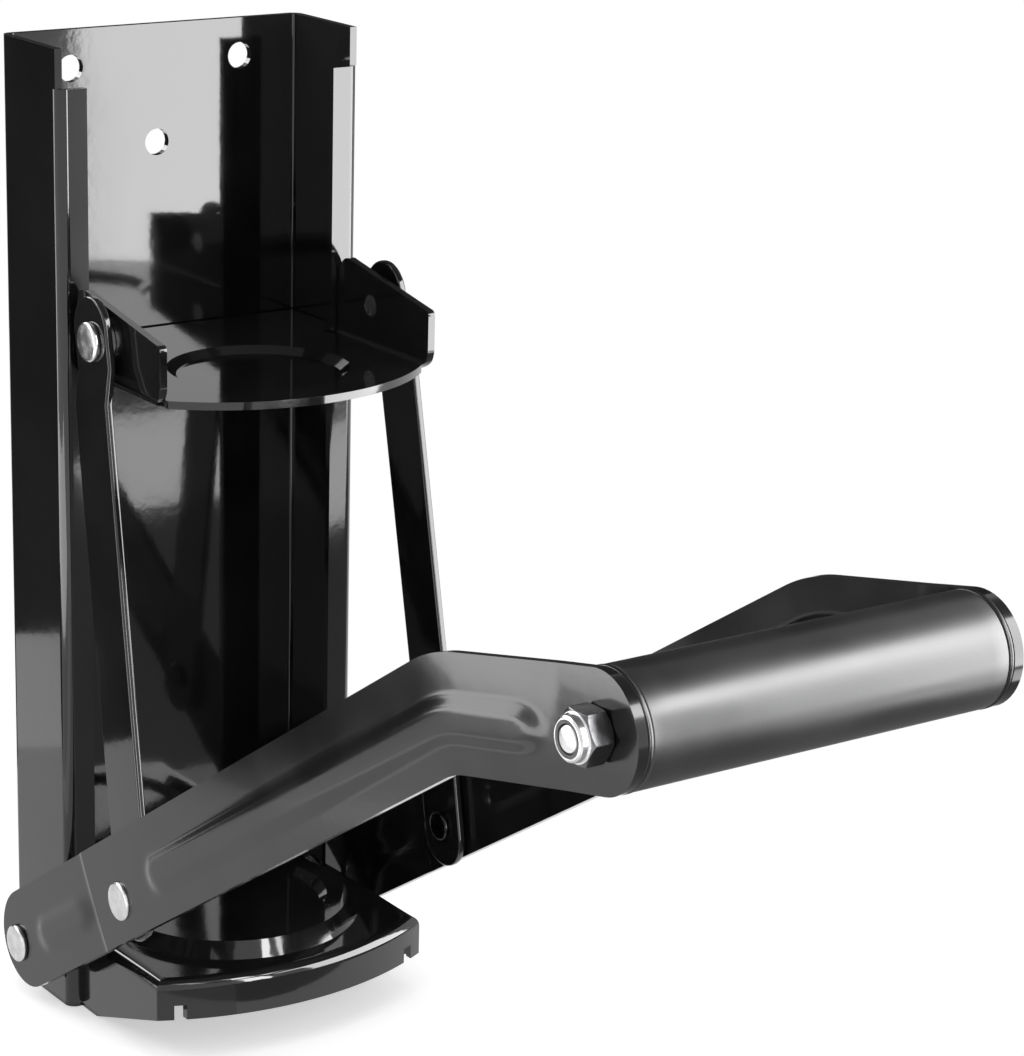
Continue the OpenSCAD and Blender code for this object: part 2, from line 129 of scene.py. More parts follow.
def spread(tree, value, low, high, to_low=0.0, to_high=1.0):
    made = add_node(tree, "ShaderNodeMapRange")
    tree.links.new(value, made.inputs["Value"])
    for label, number in (("From Min", low), ("From Max", high), ("To Min", to_low), ("To Max", to_high)):
        made.inputs[label].default_value = number
    return made.outputs["Result"]


def relief(tree, height, distance):
    made = add_node(tree, "ShaderNodeBump")
    tree.links.new(height, made.inputs["Height"])
    tree.links.new(distance, made.inputs["Distance"])
    return made.outputs["Normal"]


def make_fine_surface():
    """Waves of one size that feed a bump, and a soft patchy mask for dust, haze and tint."""
    group = shader_group(
        "fine_surface",
        [("Wave Size", 2 * MM), ("Wave Height", 0.001 * MM), ("Patch Size", 20 * MM)],
        [("Normal", "NodeSocketVector"), ("Patches", "NodeSocketFloat")],
    )
    start = add_node(group, "NodeGroupInput")
    end = add_node(group, "NodeGroupOutput")
    where = add_node(group, "ShaderNodeTexCoord").outputs["Object"]
    waves = grain_noise(group, where, divide(group, 1, start.outputs["Wave Size"]), 2.0)
    patches = grain_noise(group, where, divide(group, 1, start.outputs["Patch Size"]), 4.0)
    group.links.new(relief(group, waves, start.outputs["Wave Height"]), end.inputs["Normal"])
    group.links.new(spread(group, patches, 0.35, 0.65), end.inputs["Patches"])
    return group


fine_surface = make_fine_surface()


def new_material(name, wave, height, patch, colours, roughness):
    """A material with fine waves in its surface, whose colour and roughness drift over soft patches."""
    material = bpy.data.materials.new(name)
    material.use_nodes = True
    tree = material.node_tree
    shader = tree.nodes["Principled BSDF"]
    surface = add_node(tree, "ShaderNodeGroup", node_tree=fine_surface)
    for label, value in (("Wave Size", wave), ("Wave Height", height), ("Patch Size", patch)):
        surface.inputs[label].default_value = value
    patches = surface.outputs["Patches"]
    tree.links.new(surface.outputs["Normal"], shader.inputs["Normal"])
    tree.links.new(blend_colour(tree, patches, *colours), shader.inputs["Base Color"])
    tree.links.new(spread(tree, patches, 0.0, 1.0, *roughness), shader.inputs["Roughness"])
    return material, shader


def gloss_coat(name, patch, haze=0.05, top_gloss=0.3):
    """Thick gloss coating: black, mirror smooth with a faint orange peel, a trace of dust in patches."""
    colours, roughness = (coat_black, coat_dusty), (haze, haze + haze_spread)
    material, shader = new_material(name, peel_wave, peel_height, patch, colours, roughness)
    shader.inputs["IOR"].default_value = coat_index
    shader.inputs["Coat Weight"].default_value = top_gloss
    shader.inputs["Coat Roughness"].default_value = coat_haze
    shader.inputs["Coat IOR"].default_value = coat_index
    return material


def round_edges(piece, width, steps, angle):
    edge = piece.modifiers.new("soft_edge", "BEVEL")
    edge.width = width
    edge.segments = steps
    edge.limit_method = "ANGLE"
    edge.angle_limit = angle


def even_shading(piece, weight):
    even = piece.modifiers.new("even_shading", "WEIGHTED_NORMAL")
    even.weight = weight


def soften(piece, width):
    """Joins the flat facets of a pressed piece and rounds its sharp edges."""
    weld = piece.modifiers.new("weld", "WELD")
    weld.merge_threshold = weld_gap
    join = piece.modifiers.new("join_flats", "DECIMATE")
    join.decimate_type = "DISSOLVE"
    join.angle_limit = flat_angle
    round_edges(piece, width, edge_steps, fold_angle)
    even_shading(piece, sheet_weight)


def finish_cad(node, material, width=None):
    piece = nodes[node]
    piece.data.materials.clear()
    piece.data.materials.append(material)
    if width:
        soften(piece, width)
    return piece


channel_coat = gloss_coat("channel_gloss_coat", 34 * MM)
finish_cad("back_channel", channel_coat, fold_edge)


# Base plate. One pressed steel sheet: a round dish that centres the can, a bowed front skirt with
# two relief notches, and two side skirts. It is welded between the channel's lips.

pressed_edge = 0.7 * MM
base_coat = gloss_coat("base_gloss_coat", 27 * MM)
finish_cad("base_plate", base_coat, pressed_edge)


# Crush plate. Pressed from the same sheet, with two upright ears, a pressed round that meets the
# can, and two wings that run behind the channel's lips.

crush_coat = gloss_coat("crush_gloss_coat", 30 * MM)
finish_cad("crush_plate", crush_coat, pressed_edge)


# Links. Two flat bars, cropped round at both ends and set outward below the ears, which hang the
# crush plate from the arms.

link_edge = 0.6 * MM
link_coat = gloss_coat("link_gloss_coat", 22 * MM)
for node in ("left_link", "right_link"):
    finish_cad(node, link_coat, link_edge)


# Lever arms. Two strips of 2.5 mm steel, blanked with round ends and an elbow, stiffened by pressed
# ribs, creased past the pivot and at the elbow, and coated like the rest.

arm_wide = 26.2 * MM
arm_thick = 2.5 * MM
arm_tail = 4.8 * MM
arm_rise = math.radians(32.6)
grip_rise = math.radians(12.5)
crease_at = 50 * MM
elbow_at = 238 * MM
grip_at = 53.5 * MM
arm_seat = 13.5 * MM
arm_out = 2.2 * MM
arm_back = 1.85 * MM
crease_step = 0.5 * MM
crease_run = 2.2 * MM
rib_high = 0.8 * MM
rib_wide = 11.8 * MM
rib_low = 1.3 * MM
rib_slope = 3.7 * MM
rib_taper = 0.55
long_rib_from = 84 * MM
long_rib_past = 36 * MM
short_rib_from = 12.5 * MM
short_rib_high = 0.7 * MM
short_rib_slope = 4.2 * MM
elbow_round = 34 * MM
elbow_soft = 7 * MM
strip_crown = 0.22 * MM
row_step = 1.6 * MM
arm_edge = 0.6 * MM
arm_angle = math.radians(50)
arm_weight = 60
round_turns = 14
arm_columns = 34
same_point = 0.01 * MM
pivot = Vector(frame["joints"][0]["pos_m"])
arm_in = -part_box("left_arm")[1].x


def along(angle):
    """Direction of an arm in the side plane, as (forward, up)."""
    return Vector((math.cos(angle), math.sin(angle)))


def across(angle):
    return Vector((-math.sin(angle), math.cos(angle)))


elbow = along(arm_rise) * elbow_at
bend = arm_rise - grip_rise
tangent = elbow_round * math.tan(bend / 2)
bend_middle = along(arm_rise) * (elbow_at - tangent) - across(arm_rise) * elbow_round


def smooth_step(x):
    x = min(1.0, max(0.0, x))
    return x * x * (3 - 2 * x)


def middle_line(s):
    """Point and direction of the arm's middle line, s along it: straight, a round elbow, straight."""
    before = elbow_at - tangent
    turn = (s - before) / elbow_round
    if turn <= 0:
        return along(arm_rise) * s, arm_rise
    if turn <= bend:
        return bend_middle + across(arm_rise - turn) * elbow_round, arm_rise - turn
    past = s - before - bend * elbow_round
    return elbow + along(grip_rise) * (tangent + past), grip_rise


arc_saving = 2 * tangent - bend * elbow_round
arm_end = elbow_at + grip_at - arc_saving


def rib_height(s, v):
    """Height of the pressed ribs over the flat of the arm, s along it and v above its middle."""
    half = rib_wide / 2
    height = 0.0
    for start, stop, high, slope in (
        (long_rib_from, elbow_at + long_rib_past - arc_saving, rib_high, rib_slope),
        (short_rib_from, crease_at, short_rib_high, short_rib_slope),
    ):
        nearest = min(stop - half / rib_taper, max(start + half, s))
        taper = rib_taper if s > nearest else 1
        inside = half - math.hypot(taper * (s - nearest), v + rib_low)
        height += high * smooth_step(inside / slope)
    return height


def set_out(s):
    """How far the arm stands out from its flat at the pivot, s along the arm."""
    seat = arm_end - arm_seat
    step = crease_step * smooth_step((s - crease_at + crease_run / 2) / crease_run)
    rise = (arm_out - crease_step) / (elbow_at - crease_at)
    fall = -arm_back / (seat - elbow_at)
    if s <= crease_at:
        return step
    if s <= elbow_at - elbow_soft:
        return step + rise * (s - crease_at)
    if s <= elbow_at + elbow_soft:
        run = s - elbow_at + elbow_soft
        return step + rise * (s - crease_at) + (fall - rise) * run * run / (4 * elbow_soft)
    return max(arm_out + fall * (s - elbow_at), arm_out - arm_back)


def arm_rows():
    """Rows of the arm from tail to grip end, as (length along, half width)."""
    half = arm_wide / 2
    quarter = [math.pi / 2 * k / round_turns for k in range(round_turns + 1)]
    rows = [(arm_tail - half * math.cos(a), half * math.sin(a)) for a in quarter[:-1]]
    count = int((arm_end - arm_tail) / row_step)
    stations = [arm_tail + (arm_end - arm_tail) * k / count for k in range(count + 1)]
    stations += [crease_at + crease_run * share for share in (-0.5, -0.25, 0, 0.25, 0.5)]
    rows += [(s, half) for s in sorted(stations)]
    rows += [(arm_end + half * math.sin(a), half * math.cos(a)) for a in quarter[1:]]
    return rows


def grid_mesh(name, points):
    """A smooth mesh over rows of points; rows that shrink to a point are closed."""
    mesh = bpy.data.meshes.new(name)
    shape = bmesh.new()
    grid = [[shape.verts.new(p) for p in row] for row in points]
    for a, b in zip(grid, grid[1:]):
        for k in range(len(a) - 1):
            shape.faces.new((a[k], a[k + 1], b[k + 1], b[k]))
    bmesh.ops.remove_doubles(shape, verts=shape.verts, dist=same_point)
    bmesh.ops.recalc_face_normals(shape, faces=shape.faces)
    shape.to_mesh(mesh)
    shape.free()
    return mesh


def place(name, mesh, material, body, node):
    """Puts a finished mesh in the scene in place of a CAD node and lets it ride on that body."""
    mesh.polygons.foreach_set("use_smooth", [True] * len(mesh.polygons))
    piece = bpy.data.objects.new(name, mesh)
    bpy.context.scene.collection.objects.link(piece)
    mesh.materials.append(material)
    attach(piece, body)
    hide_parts(node)
    return piece


arm_coat = gloss_coat("arm_gloss_coat", 25 * MM, 0.13, 0.1)


def build_arm(side, name, node):
    """A lever arm: its outer face as a grid over the ribs and creases, given its thickness inward."""
    shares = [-1 + 2 * k / arm_columns for k in range(arm_columns + 1)]
    points = []
    for s, half in arm_rows():
        foot, angle = middle_line(s)
        line = []
        for share in shares:
            v = share * half
            flat = foot + across(angle) * v
            crown = strip_crown * (2 * v / arm_wide) ** 2
            out = arm_in + arm_thick + set_out(s) + rib_height(s, v) - crown
            line.append((side * out, pivot.y - flat.x, pivot.z + flat.y))
        points.append(line)
    mesh = grid_mesh(name, points)
    if mesh.polygons[0].normal.x * side < 0:
        mesh.flip_normals()
    piece = place(name, mesh, arm_coat, "lever", node)
    strip = piece.modifiers.new("sheet", "SOLIDIFY")
    strip.thickness = arm_thick
    strip.offset = -1
    round_edges(piece, arm_edge, edge_steps, arm_angle)
    even_shading(piece, arm_weight)


build_arm(LEFT, "left_lever_arm", "left_arm")
build_arm(RIGHT, "right_lever_arm", "right_arm")


# Rivets. Turned steel, zinc plated: a low head outside, the shank through the holes, and a
# riveted-over end inside. The pairs at pivots, ears and links are alike and differ in length; the
# ends inside the lower link joint are painted near black as painted shade.

rivet_edge = 0.25 * MM
zinc_wave = 0.35 * MM
zinc_relief = 0.002 * MM
zinc_roughness = (0.16, 0.30)
plate_bright = (0.80, 0.80, 0.81, 1)
plate_dull = (0.62, 0.62, 0.63, 1)
# Near-black tones for the link rivet ends: painted shade, not the plating's own colour.
shaded_tail_bright = (0.05, 0.05, 0.052, 1)
shaded_tail_dull = (0.03, 0.03, 0.032, 1)


def turned(name, profile, centre, side, steps=72):
    """A turned piece about an axis along X. The profile gives (radius, distance out) pairs."""
    points = []
    for k in range(steps + 1):
        a = 2 * math.pi * k / steps
        points.append([
            (side * out, centre.y + radius * math.sin(a), centre.z + radius * math.cos(a))
            for radius, out in profile
        ])
    return grid_mesh(name, points)


def zinc_plate(name, patch, bright=plate_bright, dull=plate_dull):
    """Zinc plate on turned steel, a little cloudy, with a fine satin grain; darker colours passed in paint
    shade.
    """
    material, shader = new_material(name, zinc_wave, zinc_relief, patch, (bright, dull), zinc_roughness)
    shader.inputs["Metallic"].default_value = 1.0
    return material


rivet_zinc = zinc_plate("rivet_zinc_plate", 3 * MM)
# A dark copy of the zinc that paints shade on the link rivet ends.
shaded_tail_zinc = zinc_plate("tail_painted_shade_zinc", 3 * MM, shaded_tail_bright, shaded_tail_dull)


def head_profile(radius, foot, height):
    """Half outline of a low head from its foot to its middle, away from the axis."""
    edge = rivet_edge
    return [
        (radius, foot), (radius, foot + height * 0.55), (radius - edge * 0.3, foot + height * 0.78),
        (radius - edge * 1.2, foot + height * 0.93), (radius - edge * 3, foot + height * 0.985),
        (radius * 0.35, foot + height), (0, foot + height),
    ]


def tail_profile(radius, inside, height):
    """Half outline of a riveted-over end, from the axis out to its foot."""
    return [(r, -out) for r, out in reversed(head_profile(radius, -inside, height))]


def rivet_profile(shank, outside, inside, head, tail, height):
    start, end = tail_profile(tail, inside, height), head_profile(head, outside, height)
    return [*start, (shank, inside), (shank, outside), *end]


def rivet_pair(name, node, body, profile_of, material=rivet_zinc):
    """Both rivets of a CAD node, its left and its right one, as one piece."""
    low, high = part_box(node)
    centre = Vector((0, (low.y + high.y) / 2, (low.z + high.z) / 2))
    both = bmesh.new()
    for side in (LEFT, RIGHT):
        mesh = turned(name, profile_of, centre, side)
        both.from_mesh(mesh)
        bpy.data.meshes.remove(mesh)
    bmesh.ops.recalc_face_normals(both, faces=both.faces)
    mesh = bpy.data.meshes.new(name)
    both.to_mesh(mesh)
    both.free()
    return place(name, mesh, material, body, node)


channel_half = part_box("back_channel")[1].x
ear_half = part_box("crush_plate")[1].x
sheet = 2 * MM
pivot_shank = 3.5 * MM
pin_shank = 2.75 * MM
head_radius = 5 * MM
tail_radius = 3.9 * MM
head_height = 1.3 * MM
pivot_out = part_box("pivot_rivets")[1].x - head_height
pivot_outline = rivet_profile(
    pivot_shank, pivot_out, channel_half - sheet, head_radius, head_radius, head_height)
rivet_pair("pivot_rivet_pair", "pivot_rivets", "frame", pivot_outline)
slider_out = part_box("slider_rivets")[1].x - head_height
slider_outline = rivet_profile(
    pin_shank, slider_out, ear_half - sheet, head_radius, tail_radius, head_height)
rivet_pair("slider_rivet_pair", "slider_rivets", "slider", slider_outline)
arm_head_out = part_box("arm_rivets")[1].x - head_height
arm_head_in = arm_head_out - arm_thick
arm_rivet_outline = [
    (0, arm_head_in), (pin_shank, arm_head_in), (pin_shank, arm_head_out),
    *head_profile(head_radius, arm_head_out, head_height),
]
rivet_pair("arm_rivet_pair", "arm_rivets", "lever", arm_rivet_outline)
link_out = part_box("link_rivet_tails")[1].x
link_inside = link_out - sheet
link_tail_outline = [
    *tail_profile(tail_radius, link_inside, head_height),
    (pin_shank, link_inside), (pin_shank, link_out), (0, link_out),
]
rivet_pair("link_rivet_tail_pair", "link_rivet_tails", "links", link_tail_outline, shaded_tail_zinc)
spacer_edge = 0.2 * MM
for node in ("pivot_spacers", "link_spacers"):
    finish_cad(node, rivet_zinc, spacer_edge)


# Grip. A black moulded sleeve on a drawn steel tube, closed by two moulded caps and held between
# the arms by one long bolt with a collar lock nut.

grip_dark = (0.008, 0.008, 0.0085, 1)
grip_light = (0.013, 0.013, 0.0135, 1)
grip_index = 1.72
tube_dark = (0.5, 0.5, 0.51, 1)
tube_light = (0.6, 0.6, 0.61, 1)
ring_light = (0.09, 0.09, 0.085, 1)
ring_dark = (0.06, 0.06, 0.057, 1)
grip_satin, grip_shader = new_material(
    "grip_satin_plastic", wave=0.5 * MM, height=0.012 * MM, patch=18 * MM,
    colours=(grip_dark, grip_light), roughness=(0.31, 0.37))
grip_shader.inputs["IOR"].default_value = grip_index
cap_black = new_material(
    "cap_black_plastic", wave=0.8 * MM, height=0.004 * MM, patch=9 * MM,
    colours=(grip_dark, coat_black), roughness=(0.22, 0.3))[0]
drawn_steel, tube_shader = new_material(
    "drawn_tube_steel", wave=0.6 * MM, height=0.006 * MM, patch=12 * MM,
    colours=(tube_dark, tube_light), roughness=(0.28, 0.4))
tube_shader.inputs["Metallic"].default_value = 1.0
ring_nylon = new_material(
    "nylon_ring_plastic", wave=0.7 * MM, height=0.01 * MM, patch=2 * MM,
    colours=(ring_light, ring_dark), roughness=(0.4, 0.5))[0]
grip_low, grip_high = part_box("grip_sleeve")
grip_axis = Vector((0, (grip_low.y + grip_high.y) / 2, (grip_low.z + grip_high.z) / 2))
sleeve_radius = (grip_high.z - grip_low.z) / 2
sleeve_bore = 9.55 * MM
sleeve_edge = 0.5 * MM
sleeve_steps = 24
grip_round = 96
cap_low, cap_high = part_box("right_end_cap")
cap_radius = (cap_high.z - cap_low.z) / 2


def sleeve_profile():
    """Closed outline of the sleeve: bore, rounded end, outside, rounded end."""
    end = grip_high.x
    straight = 2 * end - 2 * sleeve_edge
    corner = [(sleeve_radius - sleeve_edge * (1 - math.sin(a)), end - sleeve_edge * (1 - math.cos(a)))
              for a in (math.pi / 2 * k / 4 for k in range(5))]
    steps = [(sleeve_radius, end - sleeve_edge - straight * k / sleeve_steps)
             for k in range(1, sleeve_steps)]
    other = [(r, -x) for r, x in reversed(corner)]
    return [(sleeve_bore, end), *corner, *steps, *other, (sleeve_bore, -end), (sleeve_bore, end)]


sleeve_mesh = turned("grip_sleeve_turned", sleeve_profile(), grip_axis, RIGHT, grip_round)
place("grip_sleeve_moulded", sleeve_mesh, grip_satin, "lever", "grip_sleeve")
finish_cad("grip_tube", drawn_steel)

cap_edge = 0.35 * MM
cap_flange = 1.3 * MM
cap_floor = 0.9 * MM
plug_radius = 7.95 * MM
plug_bore = 6 * MM
bolt_radius = 3.15 * MM
hole_radius = bolt_radius + 0.05 * MM


def cap_profile(outer, plug_in):
    """Closed outline of a cap: rounded flange, plug with its hollow, hole for the bolt."""
    inner = outer - cap_flange
    return [
        (hole_radius, outer), (cap_radius - cap_edge * 2, outer),
        (cap_radius - cap_edge * 0.3, outer - cap_edge * 0.3), (cap_radius, outer - cap_edge),
        (cap_radius, inner + cap_edge * 0.5), (cap_radius - cap_edge * 0.5, inner),
        (plug_radius, inner), (plug_radius, plug_in + cap_edge), (plug_radius - cap_edge, plug_in),
        (plug_bore, plug_in), (plug_bore, outer - cap_floor), (hole_radius, outer - cap_floor),
        (hole_radius, outer),
    ]


cap_outline = cap_profile(cap_high.x, cap_low.x)
for side, name, node in (
    (LEFT, "left_cap_moulded", "left_end_cap"),
    (RIGHT, "right_cap_moulded", "right_end_cap"),
):
    place(name, turned(name, cap_outline, grip_axis, side, grip_round), cap_black, "lever", node)

hex_flats = 11.1 * MM
hex_chamfer = math.radians(30)
hex_steps = 96
hex_edge = 0.08 * MM
hex_angle = math.radians(25)
hex_weight = 80
face_share = 0.965
ring_share = 0.8
collar_high = 2 * MM
collar_radius = 4.9 * MM
collar_roll = 1 * MM


def hex_radius(angle):
    """Distance from the axis to the side of the hexagon in one direction."""
    sector = math.pi / 3
    return hex_flats / 2 / math.cos((angle + sector / 2) % sector - sector / 2)


def collar_line(base, bore):
    """Outline of a lock nut's round collar, from its foot on the hexagon over its rolled top inward."""
    top = base + collar_high
    roll = collar_roll
    return [
        (collar_radius + 0.25 * roll, base), (collar_radius, base + 0.3 * roll),
        (collar_radius, top - 0.7 * roll), (collar_radius - 0.15 * roll, top - 0.35 * roll),
        (collar_radius - 0.5 * roll, top - 0.08 * roll), (collar_radius - 0.9 * roll, top),
        (collar_radius - 0.95 * roll, top - 0.2 * roll), (collar_radius - 0.85 * roll, base), (bore, base),
    ]


def hex_mesh(name, side, foot, height, bore, collar=False):
    """A forged hexagon with turned chamfers: a lock nut with its collar, or a bolt head, flat below."""
    face_radius = hex_flats / 2 * face_share
    points = []
    for k in range(hex_steps + 1):
        a = 2 * math.pi * k / hex_steps
        corner = hex_radius(a)
        drop = max(0.0, corner - face_radius) * math.tan(hex_chamfer)
        low_drop = drop if collar else 0.0
        line = [(bore, foot), (face_radius, foot), (corner, foot + low_drop), (corner, foot + height / 2),
                (corner, foot + height - drop), (face_radius, foot + height)]
        if collar:
            line += collar_line(foot + height, bore)
        else:
            line += [(face_radius * ring_share, foot + height), (bore, foot + height)]
        line.append((bore, foot))
        points.append([
            (side * out, grip_axis.y + r * math.sin(a), grip_axis.z + r * math.cos(a)) for r, out in line
        ])
    return grid_mesh(name, points)


def crisp(piece):
    """Keeps the turned faces smooth and gives the forged edges a small radius."""
    round_edges(piece, hex_edge, 2, hex_angle)
    even_shading(piece, hex_weight)


# The nut's hexagon gets a much darker copy of the zinc than its collar: painted shade.
nut_shade_bright = (0.20, 0.20, 0.205, 1)
nut_shade_dull = (0.12, 0.12, 0.125, 1)
nut_shaded_zinc = zinc_plate("nut_painted_shade_zinc", 4 * MM, nut_shade_bright, nut_shade_dull)
nut_high = 5.6 * MM
seat = -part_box("grip_nut")[1].x
nut_mesh = hex_mesh("lock_nut_forged", LEFT, seat, nut_high, hole_radius, collar=True)
nut = place("lock_nut_forged", nut_mesh, nut_shaded_zinc, "lever", "grip_nut")
# The collar keeps the bright rivet zinc; the hexagon's darker copy is painted shade.
nut.data.materials.append(rivet_zinc)
for face in nut_mesh.polygons:
    face.material_index = 1 if face.center.x < -seat - nut_high else 0
crisp(nut)

bolt_far = -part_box("grip_bolt")[0].x
bolt_head_high = 4.2 * MM
thread_deep = 0.35 * MM
half_pitch = 0.5 * MM
thread_long = 9 * MM
thread_turns = 33
tip_chamfer = 0.5 * MM


def bolt_mesh():
    """The head on the right and the shank through the grip, grooved where the nut sits, as one piece."""
    grooves = [(bolt_radius - (thread_deep if k % 2 else 0), -seat + thread_long - k * half_pitch)
               for k in range(thread_turns)]
    tip = [(bolt_radius, -bolt_far + tip_chamfer), (bolt_radius - tip_chamfer, -bolt_far), (0, -bolt_far)]
    shank = [(0, seat), (bolt_radius, seat), *grooves, *tip]
    whole = bmesh.new()
    whole.from_mesh(hex_mesh("bolt_head", RIGHT, seat, bolt_head_high, 0.0))
    whole.from_mesh(turned("bolt_shank", shank, grip_axis, RIGHT))
    bmesh.ops.recalc_face_normals(whole, faces=whole.faces)
    mesh = bpy.data.meshes.new("grip_bolt_forged")
    whole.to_mesh(mesh)
    whole.free()
    return mesh


crisp(place("grip_bolt_forged", bolt_mesh(), rivet_zinc, "lever", "grip_bolt"))
finish_cad("nut_ring", ring_nylon)


# Studio. A pale floor, seen only close to the base, a tall soft box in front on the right, a broad
# one overhead and a small one behind on the left. White cards and dark flags, out of sight, give the
# gloss coating its reflections.

ground = cad_box[0].z
floor_size = 6.0
floor_drop = 0.05 * MM
floor_grey = 0.8
floor_lift = 0.5
shadow_middle = (0, -0.06, ground)
shadow_near, shadow_far = 0.07, 0.17
sky_light = 0.62
level, deep, upright = Vector((1, 0, 0)), Vector((0, 1, 0)), Vector((0, 0, 1))


def plane_mesh(name, centre, right, up, width, height):
    shape = bmesh.new()
    r, u = right.normalized() * width / 2, up.normalized() * height / 2
    shape.faces.new([shape.verts.new(centre + p) for p in (-r - u, r - u, r + u, -r + u)])
    mesh = bpy.data.meshes.new(name)
    shape.to_mesh(mesh)
    shape.free()
    piece = bpy.data.objects.new(name, mesh)
    bpy.context.scene.collection.objects.link(piece)
    return piece


def seen_directly(tree):
    """1 for rays that show the background itself: camera, glossy and transmission rays."""
    path = add_node(tree, "ShaderNodeLightPath")
    total = path.outputs["Is Camera Ray"]
    for label in ("Is Glossy Ray", "Is Transmission Ray"):
        more = add_node(tree, "ShaderNodeMath", operation="MAXIMUM")
        tree.links.new(total, more.inputs[0])
        tree.links.new(path.outputs[label], more.inputs[1])
        total = more.outputs[0]
    return total


def far_from_base(tree):
    """1 for camera rays that meet the floor away from the base, so that a lowered lever shows."""
    where = add_node(tree, "ShaderNodeNewGeometry")
    apart = add_node(tree, "ShaderNodeVectorMath", operation="DISTANCE")
    tree.links.new(where.outputs["Position"], apart.inputs[0])
    apart.inputs[1].default_value = shadow_middle
    fade = spread(tree, apart.outputs["Value"], shadow_near, shadow_far)
    seen = add_node(tree, "ShaderNodeMath", operation="MULTIPLY")
    tree.links.new(fade, seen.inputs[0])
    tree.links.new(add_node(tree, "ShaderNodeLightPath").outputs["Is Camera Ray"], seen.inputs[1])
    return seen.outputs[0]


def floor_material():
    material = bpy.data.materials.new("pale_floor")
    material.use_nodes = True
    tree = material.node_tree
    tree.nodes.clear()
    matt = add_node(tree, "ShaderNodeBsdfDiffuse")
    matt.inputs["Color"].default_value = (floor_grey, floor_grey, floor_grey, 1)
    lift = add_node(tree, "ShaderNodeEmission")
    strength = add_node(tree, "ShaderNodeMath", operation="MULTIPLY")
    strength.inputs[1].default_value = floor_lift
    tree.links.new(seen_directly(tree), strength.inputs[0])
    tree.links.new(strength.outputs[0], lift.inputs["Strength"])
    both = add_node(tree, "ShaderNodeAddShader")
    tree.links.new(matt.outputs[0], both.inputs[0])
    tree.links.new(lift.outputs[0], both.inputs[1])
    patch = add_node(tree, "ShaderNodeMixShader")
    tree.links.new(far_from_base(tree), patch.inputs["Fac"])
    tree.links.new(both.outputs[0], patch.inputs[1])
    tree.links.new(add_node(tree, "ShaderNodeBsdfTransparent").outputs[0], patch.inputs[2])
    out = add_node(tree, "ShaderNodeOutputMaterial")
    tree.links.new(patch.outputs[0], out.inputs["Surface"])
    return material


floor_at = Vector((0, 0, ground - floor_drop))
floor = plane_mesh("floor", floor_at, level, deep, floor_size, floor_size)
floor.data.materials.append(floor_material())


def sky():
    world = bpy.data.worlds.new("white_sky")
    bpy.context.scene.world = world
    world.use_nodes = True
    tree = world.node_tree
    back = tree.nodes["Background"]
    back.inputs["Color"].default_value = (1, 1, 1, 1)
    strength = spread(tree, seen_directly(tree), 0.0, 1.0, sky_light, 1.0)
    tree.links.new(strength, back.inputs["Strength"])


sky()


def soft_box(name, place_at, aim, width, height, radiance):
    """A rectangular lamp whose face has the given radiance."""
    lamp = bpy.data.lights.new(name, "AREA")
    lamp.shape = "RECTANGLE"
    lamp.size, lamp.size_y = width, height
    lamp.energy = radiance * math.pi * width * height
    piece = bpy.data.objects.new(name, lamp)
    piece.location = place_at
    piece.rotation_euler = (Vector(aim) - Vector(place_at)).to_track_quat("-Z", "Y").to_euler()
    piece.visible_camera = False
    bpy.context.scene.collection.objects.link(piece)
    return piece


def reflector(name, centre, right, up, width, height, radiance):
    """A card that only shows in reflections: white where its radiance is high, a dark flag where low."""
    material = bpy.data.materials.new(name)
    material.use_nodes = True
    tree = material.node_tree
    tree.nodes.clear()
    glow = add_node(tree, "ShaderNodeEmission")
    glow.inputs["Strength"].default_value = radiance
    out = add_node(tree, "ShaderNodeOutputMaterial")
    tree.links.new(glow.outputs[0], out.inputs["Surface"])
    piece = plane_mesh(name, Vector(centre), Vector(right), Vector(up), width, height)
    piece.data.materials.append(material)
    piece.visible_camera = piece.visible_diffuse = piece.visible_shadow = False
    piece.visible_transmission = piece.visible_volume_scatter = False
    return piece


def on_floor(x, y, lift):
    """A place lying on the floor, lifted by so many millimetres to keep the cards apart."""
    return x, y, ground + lift * MM


middle = Vector((0, -0.09, -0.13))
key_at = Vector((0.42, -0.60, ground + 0.30))
key_aim = (0.0, -0.03, ground + 0.25)
soft_box("front_right_box", key_at, key_aim, 0.30, 0.60, 3.2).visible_glossy = False
soft_box("overhead_box", (-0.1, -0.25, 1.1), middle, 1.2, 1.0, 1.3).visible_glossy = False
soft_box("left_back_box", (-0.62, 0.55, ground + 0.75), middle, 0.5, 0.5, 4.0)

# Cards in front of the object, for the grip, the arms and the skirt.
turned_right = (0.81, 0.583, 0)
reflector("key_card", (0.518, -0.44, ground + 0.30), turned_right, upright, 0.55, 0.60, 11.0)
reflector("front_strip_card", (0.10, -0.80, ground + 0.45), level, upright, 0.12, 0.90, 16.0)
reflector("high_front_card", (0.474, -0.729, 0.415), turned_right, (-0.32, 0.44, 0.84), 0.55, 0.26, 12.0)

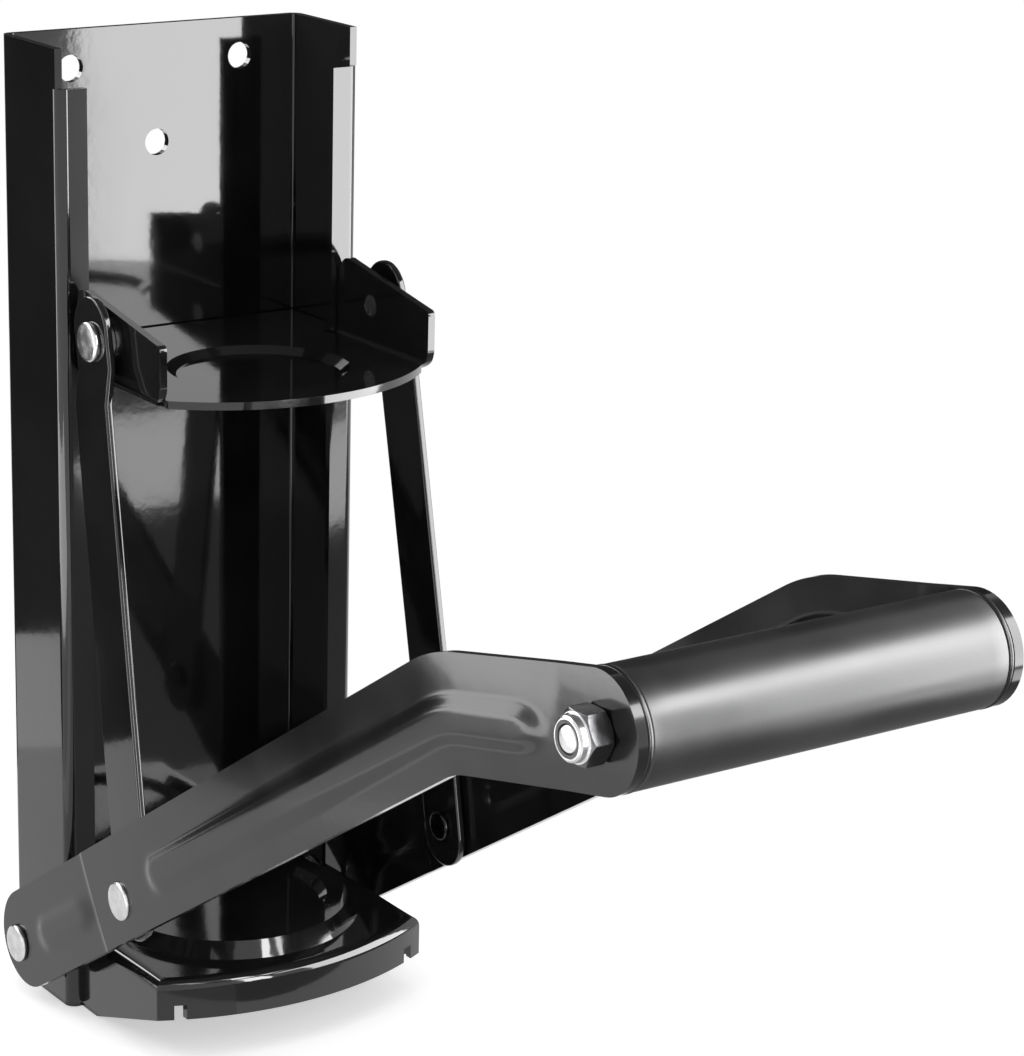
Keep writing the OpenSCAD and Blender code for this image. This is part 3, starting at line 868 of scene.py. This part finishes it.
# Cards behind and on the left, for the back plate, the walls and the links.
wall_right, wall_up = (0.889, 0.457, 0), (-0.457, 0.889, 0)
link_right, link_up = (0.935, -0.355, 0), (0.355, 0.935, 0)
slope_right, slope_up = (0.768, 0.64, 0), (-0.64, 0.768, 0)
reflector("high_back_card", (-0.28, 0.65, 0.30), level, upright, 0.32, 0.32, 7.0)
reflector("near_floor_card", on_floor(-0.099, -0.10, 1), level, deep, 0.158, 0.50, 0.85)
reflector("wall_floor_card", on_floor(-0.153, 0.198, 1.1), wall_right, wall_up, 0.036, 0.115, 1.2)
reflector("middle_floor_card", on_floor(-0.325, -0.078, 1), link_right, link_up, 0.163, 0.40, 0.95)
reflector("far_floor_card", on_floor(-0.472, -0.025, 1.2), level, deep, 0.254, 0.55, 4.5)
reflector("slope_card", on_floor(-0.62, 0.46, 1.3), slope_right, slope_up, 0.16, 0.70, 4.5)
reflector("left_back_card", (-0.86, 0.74, ground + 0.14), level, upright, 0.40, 0.28, 4.5)

# Dark flags, and a bright card over the last of them.
reflector("left_floor_flag", on_floor(-0.32, 0.71, 0.5), level, deep, 0.60, 1.28, 0.05)
reflector("left_back_flag", (-0.28, 0.75, ground + 0.25), level, upright, 0.76, 0.50, 0.05)
reflector("right_back_flag", (0.85, 0.45, ground + 0.5), level, upright, 1.5, 1.0, 0.05)
reflector("overhead_flag", (0.2, -0.2, ground + 1.2), level, deep, 1.6, 1.5, 0.15)
reflector("front_floor_card", on_floor(0.365, -0.435, 1.5), level, deep, 0.34, 0.13, 5.0)
reflector("front_floor_flag", on_floor(0.22, -0.42, 1), level, deep, 0.56, 0.62, 0.3)


# Camera, at the photograph's place and angle. Its picture is 1024 wide and 1056 high, and the long
# side counts for the focal length.

camera_at = Vector((-0.42761, -0.76155, 0.13671))
camera_aim = Vector((-0.00103, -0.16719, -0.08326))
camera_roll = 0.02665
picture_height = 1056
focal_pixels = 3347.4


def aim_camera():
    lens = bpy.data.cameras.new("camera")
    lens.sensor_width = 36
    lens.lens = focal_pixels * lens.sensor_width / picture_height
    lens.clip_start, lens.clip_end = 0.02, 20
    piece = bpy.data.objects.new("camera", lens)
    forward = (camera_aim - camera_at).normalized()
    right = forward.cross(upright).normalized()
    up = right.cross(forward)
    rolled_right = right * math.cos(camera_roll) + up * math.sin(camera_roll)
    rolled_up = up * math.cos(camera_roll) - right * math.sin(camera_roll)
    axes = Matrix((rolled_right, rolled_up, -forward)).transposed().to_4x4()
    piece.matrix_world = Matrix.Translation(camera_at) @ axes
    bpy.context.scene.collection.objects.link(piece)
    bpy.context.scene.camera = piece


aim_camera()
bpy.context.scene.view_settings.view_transform = "Standard"

bpy.context.view_layer.update()
